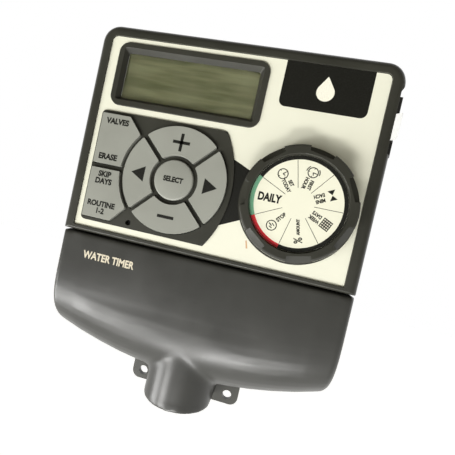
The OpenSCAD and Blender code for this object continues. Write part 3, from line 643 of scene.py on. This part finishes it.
def finishPrint(name, bm, y, material, body):
    for vert in bm.verts:
        vert.co.y = 0
    bmesh.ops.remove_doubles(bm, verts=bm.verts, dist=0.001 * mm)
    grown = bmesh.ops.extrude_face_region(bm, geom=bm.faces[:])
    top = [v for v in grown["geom"] if isinstance(v, bmesh.types.BMVert)]
    bmesh.ops.translate(bm, vec=(0, -inkThick, 0), verts=top)
    bmesh.ops.translate(bm, vec=(0, y - inkLift + inkThick / 2, 0), verts=bm.verts)
    bmesh.ops.recalc_face_normals(bm, faces=bm.faces)
    return finishMesh(name, bm, material, body, 30)

def addPatch(bm, points):
    bm.faces.new([bm.verts.new((x * mm, 0, z * mm)) for x, z in points])

def addBar(bm, start, end, width):
    a, b = Vector((start[0], 0, start[1])), Vector((end[0], 0, end[1]))
    along = (b - a).normalized()
    side = Vector((-along.z, 0, along.x)) * width / 2
    addPatch(bm, [(p.x, p.z) for p in (a + side, b + side, b - side, a - side)])

def addArc(bm, centre, inner, outer, start=0.0, sweep=360.0, steps=48):
    a = math.radians(start)
    ends = [bm.verts.new(((centre[0] + r * math.cos(a)) * mm, 0, (centre[1] + r * math.sin(a)) * mm))
            for r in (inner, outer)]
    edge = bm.edges.new(ends)
    bmesh.ops.spin(bm, geom=ends + [edge], cent=(centre[0] * mm, 0, centre[1] * mm), axis=(0, -1, 0),
                   angle=math.radians(sweep), steps=steps, use_merge=sweep >= 360)

def printWords(name, words, size, place, y, material, body, bold=0.0, turn=0.0, about=(0, 0), line=0.95,
               narrow=0.8):
    curve = bpy.data.curves.new(name, "FONT")
    curve.body = words
    curve.size = size * mm
    curve.align_x = "CENTER"
    curve.align_y = "CENTER"
    curve.offset = bold * mm
    curve.space_line = line
    curve.extrude = inkThick / 2
    curve.resolution_u = 4
    carrier = bpy.data.objects.new(name + "Curve", curve)
    bpy.context.scene.collection.objects.link(carrier)
    bpy.context.view_layer.update()
    mesh = bpy.data.meshes.new_from_object(carrier.evaluated_get(bpy.context.evaluated_depsgraph_get()))
    bpy.data.objects.remove(carrier)
    stand = (Matrix.Translation((place[0] * mm, y - inkLift, place[1] * mm))
             @ Matrix.Rotation(math.radians(90), 4, "X") @ Matrix.Diagonal((narrow, 1, 1, 1)))
    centre = Matrix.Translation((about[0] * mm, 0, about[1] * mm))
    mesh.transform(centre @ Matrix.Rotation(math.radians(turn), 4, "Y") @ centre.inverted() @ stand)
    mesh.name = name
    mesh.materials.clear()
    mesh.materials.append(material)
    piece = bpy.data.objects.new(name, mesh)
    bpy.context.scene.collection.objects.link(piece)
    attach(piece, body)
    return piece

plateY = box("faceplate")[0].y
keyY = box("plus_key")[0].y
discLow, discHigh = box("dial_disc")
discY = discLow.y
dialX, dialZ = (discLow.x + discHigh.x) / 2 / mm, (discLow.z + discHigh.z) / 2 / mm
wheelX, wheelZ = enterCentre.x / mm, enterCentre.z / mm

badge = {"left": 20.1, "right": 59.4, "low": 151.4, "high": 172.25, "corner": 3.0, "cornerSteps": 6}
drop = {"x": 39.7, "z": 160.2, "tip": 7.2, "radius": 4.0, "from": 35, "sweep": 250, "steps": 24}

def makeBadge():
    bm = bmesh.new()
    corner = badge["corner"]
    points = [(badge["left"], badge["high"])]
    for x, turn in ((badge["left"] + corner, 180), (badge["right"] - corner, 270)):
        for step in range(badge["cornerSteps"] + 1):
            a = math.radians(turn + 90 / badge["cornerSteps"] * step)
            points.append((x + corner * math.cos(a), badge["low"] + corner * (1 + math.sin(a))))
    points.append((badge["right"], badge["high"]))
    addPatch(bm, points)
    finishPrint("badge", bm, plateY, inkBlack, "case")
    bm = bmesh.new()
    outline = [(0, drop["tip"])]
    for step in range(drop["steps"] + 1):
        a = math.radians(drop["from"] - drop["sweep"] * step / drop["steps"])
        outline.append((drop["radius"] * math.cos(a), drop["radius"] * math.sin(a)))
    addPatch(bm, [(drop["x"] + x, drop["z"] + z) for x, z in outline])
    finishPrint("badgeDrop", bm, plateY - inkThick, inkPale, "case")

panelMarks = [("dialPointer", inkBlack, [(2, 125.2), (20, 117.4), (20, 99.0), (2, 90.3)]),
              ("panelScuff", inkTan, [(20.3, 84.3), (21.1, 84.4), (20.0, 88.0), (19.4, 87.8)])]

def makePanelMarks():
    for name, material, points in panelMarks:
        bm = bmesh.new()
        addPatch(bm, points)
        finishPrint(name, bm, plateY, material, "case")

keyWords = [
    ("upperTopWord", "VALVES", 3.7, (-53.6, 130.2), "manual_clear_key"),
    ("upperLowWord", "ERASE", 3.8, (-55.0, 112.7), "manual_clear_key"),
    ("lowerTopWord", "SKIP\nDAYS", 3.7, (-54.6, 102.4), "delay_program_key"),
    ("lowerLowWord", "ROUTINE\n1-2", 3.6, (-53.3, 87.8), "delay_program_key"),
]

keySigns = {"plus_key": [((-4.2, 17.9), (4.2, 17.9)), ((0, 13.7), (0, 22.1))],
            "minus_key": [((-4.1, -17.9), (4.1, -17.9))]}
keyInk = {"bold": 0.17, "barWidth": 1.45, "arrowTip": 21.4, "arrowBase": 14.8, "arrowHalf": 3.7}

def printKeys():
    for name, words, size, place, body in keyWords:
        printWords(name, words, size, place, keyY, inkBlack, body, bold=keyInk["bold"], narrow=0.94)
    for body, bars in keySigns.items():
        bm = bmesh.new()
        for start, end in bars:
            shifted = [(wheelX + p[0], wheelZ + p[1]) for p in (start, end)]
            addBar(bm, shifted[0], shifted[1], keyInk["barWidth"])
        finishPrint(body.split("_")[0] + "Sign", bm, keyY, inkBlack, body)
    for body, side in (("left_key", -1), ("right_key", 1)):
        bm = bmesh.new()
        tip, base, half = side * keyInk["arrowTip"], side * keyInk["arrowBase"], keyInk["arrowHalf"]
        points = [(tip, 0), (base, half), (base, -half)]
        addPatch(bm, [(wheelX + x, wheelZ + z) for x, z in points])
        finishPrint(body.split("_")[0] + "Arrow", bm, keyY, inkBlack, body)
    word = printWords("middleWord", "SELECT", 3.3, (wheelX, wheelZ), 0, inkBlack, "enter_key",
                      bold=keyInk["bold"], narrow=0.9)
    for vert in word.data.vertices:
        vert.co.y += crownDepth(vert.co.x, vert.co.z)

dialMarks = {"sectors": 7, "band": (19.1, 20.85), "spokes": (6.9, 19.0), "spokeWidth": 0.22}
iconShape = {"out": 14.6, "face": (1.95, 2.35), "bells": (2.65, 3.05), "bellSweep": 50, "ticks": (1.5, 1.9),
             "glassHalf": 1.6, "glassTop": 2.2, "glassWaist": 0.1, "lines": (-2.0, -1.0, 0.0, 1.0, 2.0),
             "lineHalf": 2.2}

def turned(point, turn):
    a = math.radians(turn)
    x, z = point
    return (dialX + x * math.cos(a) + z * math.sin(a), dialZ - x * math.sin(a) + z * math.cos(a))

def makeIcon(kind, name, turn):
    bm = bmesh.new()
    out = -iconShape["out"]
    centre = turned((out, 0), turn)

    def bar(start, end, width):
        addBar(bm, turned((out + start[0], start[1]), turn), turned((out + end[0], end[1]), turn), width)

    if kind in ("clock", "alarm", "off"):
        addArc(bm, centre, *iconShape["face"])
    if kind in ("clock", "alarm"):
        bar((0, 0), (0, 1.4), 0.4)
        bar((0, 0), (1.1, 0.5), 0.4)
        inner, outer = iconShape["ticks"]
        for angle in range(0, 360, 90):
            a = math.radians(angle)
            bar((inner * math.cos(a), inner * math.sin(a)), (outer * math.cos(a), outer * math.sin(a)), 0.35)
    if kind == "alarm":
        sweep = iconShape["bellSweep"]
        for angle in (110, 250):
            addArc(bm, centre, *iconShape["bells"], angle - sweep / 2 - turn, sweep, 10)
    if kind == "off":
        bar((0, -0.2), (0, 1.5), 0.5)
        for side in (-1, 1):
            bar((0.9 * side, 0.5), (0.7 * side, -1.0), 0.4)
    if kind == "glass":
        half, top, waist = iconShape["glassHalf"], iconShape["glassTop"], iconShape["glassWaist"]
        for points in (((-half, top), (half, top), (0, waist)), ((0, -waist), (half, -top), (-half, -top))):
            addPatch(bm, [turned((out + x, z), turn) for x, z in points])
    if kind == "calendar":
        half = iconShape["lineHalf"]
        for z in iconShape["lines"]:
            bar((-half, z), (half, z), 0.46)
        for x in iconShape["lines"]:
            bar((x, -half), (x, half), 0.36)
    finishPrint(name, bm, discY, inkBlack, "dial")

dialWords = [("clock", "SET\nTODAY", 2.15, 9.3), ("alarm", "FIRST\nHOUR", 2.15, 9.3),
             ("glass", "MINS\nEACH", 2.15, 9.3), ("calendar", "WEEK\nDAYS", 2.15, 9.3),
             ("percent", "AMOUNT", 1.85, 10.0), ("off", "STOP", 2.3, 9.2)]

def printDial():
    about = (dialX, dialZ)
    step = 360 / dialMarks["sectors"]
    printWords("dailyWord", "DAILY", 4.8, (dialX - 12.6, dialZ), discY, inkBlack, "dial", bold=0.22,
               narrow=0.76)
    for number, (kind, words, size, out) in enumerate(dialWords):
        turn = step * (number + 1)
        printWords(kind + "Word", words, size, (dialX - out, dialZ), discY, inkBlack, "dial",
                   bold=0.1, turn=turn, about=about, line=1.08, narrow=0.84)
        if kind == "percent":
            printWords("percentSign", "%", 5.0, (dialX - 15.8, dialZ), discY, inkBlack, "dial",
                       bold=0.09, turn=turn, about=about)
        else:
            makeIcon(kind, kind + "Icon", turn)
    spokes = bmesh.new()
    inner, outer = dialMarks["spokes"]
    for number in range(dialMarks["sectors"]):
        turn = step * (number + 0.5)
        addBar(spokes, turned((-inner, 0), turn), turned((-outer, 0), turn), dialMarks["spokeWidth"])
    finishPrint("dialSpokes", spokes, discY, inkBlack, "dial")
    inner, outer = dialMarks["band"]
    for name, material, start, sweep, steps in (("dialBand", inkBlack, 180 + 1.5 * step, 5 * step, 60),
                                                ("dailyBand", inkGreen, 180 - step / 2, step, 16),
                                                ("offBand", inkRed, 180 + step / 2, step, 16)):
        bm = bmesh.new()
        addArc(bm, about, inner, outer, start, sweep, steps)
        finishPrint(name, bm, discY, material, "dial")

makeBadge()
makePanelMarks()
printKeys()
printDial()
printWords("coverWord", "WATER TIMER", 5.1, (-44.6, 63.4), box("terminal_cover")[0].y, inkSand,
           "terminal_cover", bold=0.16, narrow=0.82)
print("printing done")
